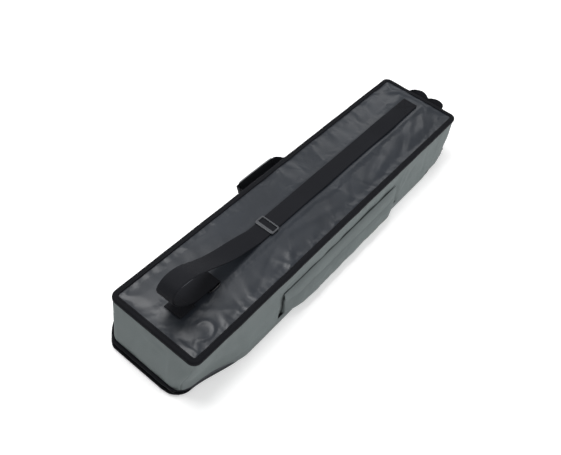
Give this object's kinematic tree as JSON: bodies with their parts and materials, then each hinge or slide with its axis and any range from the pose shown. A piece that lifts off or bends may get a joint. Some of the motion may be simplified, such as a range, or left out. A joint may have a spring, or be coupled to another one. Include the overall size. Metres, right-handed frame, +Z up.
{
  "type": "snowboard bag",
  "caption": "Long padded bag for a snowboard, with a zipped lid, shoulder strap with adjuster, side and end carry handles and a flap pocket.",
  "frame": {"origin": "middle of the lid underside, on the surface the bag lies on", "axes": "+X along the bag towards the end grab handle, +Y towards the side carry handle, +Z up from the lid to the back panel"},
  "size_m": [1.5322, 0.4152, 0.3172],
  "materials": {
    "coated": "dark slate coated woven fabric, semi-gloss",
    "grey_fabric": "mid-grey matte woven polyester",
    "foam": "closed-cell padding foam",
    "lining": "thin plain-weave lining",
    "grosgrain": "black grosgrain binding tape",
    "zip_tape": "black herringbone zip tape",
    "zip_teeth": "black nylon coil teeth",
    "zip_metal": "black painted die-cast",
    "webbing": "black woven webbing",
    "adjuster_plastic": "dark grey satin moulded plastic",
    "ring_metal": "glossy black enamelled wire",
    "touch_tape": "black hook-and-loop tape"
  },
  "bodies": {
    "lid": {"lid_cover": "coated", "lid_foam": "foam", "lid_lining": "lining", "lid_edge_binding": "grosgrain", "lid_zip_tape": "zip_tape", "lid_zip_teeth": "zip_teeth", "zip_end_tabs": "zip_tape", "hinge_strip": "grey_fabric"},
    "zip_slider_a": {"zip_slider_a": "zip_metal"},
    "zip_slider_b": {"zip_slider_b": "zip_metal"},
    "zip_pull_a": {"zip_pull_a": "zip_metal"},
    "zip_pull_b": {"zip_pull_b": "zip_metal"},
    "adjuster": {"strap_adjuster": "adjuster_plastic", "strap_lower_layer": "webbing"},
    "ring": {"strap_ring": "ring_metal"},
    "side_handle": {"side_handle_webbing": "webbing", "side_handle_grip": "webbing"},
    "end_handle": {"end_handle_webbing": "webbing"},
    "flap": {"pocket_flap": "grey_fabric", "flap_hook_strip": "touch_tape"},
    "shell": {"back_edge_binding": "grosgrain", "back_panel_cover": "coated", "back_panel_foam": "foam", "back_panel_lining": "lining", "end_handle_patches": "webbing", "far_end_wall": "grey_fabric", "far_end_wall_foam": "foam", "far_end_wall_lining": "lining", "handle_side_wall": "grey_fabric", "handle_side_wall_foam": "foam", "handle_side_wall_lining": "lining", "near_end_wall": "grey_fabric", "near_end_wall_foam": "foam", "near_end_wall_lining": "lining", "panel_loop_strip": "touch_tape", "pocket_end_gussets": "grey_fabric", "pocket_panel": "grey_fabric", "pocket_side_wall": "grey_fabric", "pocket_side_wall_foam": "foam", "pocket_side_wall_lining": "lining", "ring_tab": "webbing", "shell_piping": "grosgrain", "shell_zip_tape": "zip_tape", "shell_zip_teeth": "zip_teeth", "shoulder_strap": "webbing", "side_handle_patches": "webbing", "strap_anchor_patch": "webbing", "strap_end_patch": "webbing", "strap_loop": "webbing"}
  },
  "joints": [
    {"name": "shell_open", "type": "hinge", "parent": "lid", "child": "shell", "pos_m": [0, -0.182, 0.0162], "axis": [1, 0, 0], "range_deg": [0, 72]},
    {"name": "zip_a_travel", "type": "slide", "parent": "lid", "child": "zip_slider_a", "axis": [-1, 0, 0], "range_m": [0, 0.64]},
    {"name": "zip_b_travel", "type": "slide", "parent": "lid", "child": "zip_slider_b", "axis": [1, 0, 0], "range_m": [0, 0.64]},
    {"name": "pull_a_swing", "type": "hinge", "parent": "zip_slider_a", "child": "zip_pull_a", "pos_m": [-0.017, 0.1828, 0.0162], "axis": [0, 0, 1], "range_deg": [-165, 0]},
    {"name": "pull_b_swing", "type": "hinge", "parent": "zip_slider_b", "child": "zip_pull_b", "pos_m": [0.017, 0.1828, 0.0162], "axis": [0, 0, 1], "range_deg": [0, 165]},
    {"name": "adjuster_travel", "type": "slide", "parent": "shell", "child": "adjuster", "axis": [1, 0, 0], "range_m": [-0.04, 0.09]},
    {"name": "ring_tilt", "type": "hinge", "parent": "shell", "child": "ring", "pos_m": [-0.532, 0.004, 0.1894], "axis": [0, -1, 0], "range_deg": [0, 35]},
    {"name": "side_handle_swing", "type": "hinge", "parent": "shell", "child": "side_handle", "pos_m": [-0.037, 0.1704, 0.152], "axis": [1, 0, 0], "range_deg": [-35, 60]},
    {"name": "end_handle_swing", "type": "hinge", "parent": "shell", "child": "end_handle", "pos_m": [0.738, -0.02, 0.162], "axis": [0, -1, 0], "range_deg": [-35, 60]},
    {"name": "flap_open", "type": "hinge", "parent": "shell", "child": "flap", "pos_m": [0, -0.17, 0.118], "axis": [-1, 0, 0], "range_deg": [0, 120]}
  ]
}
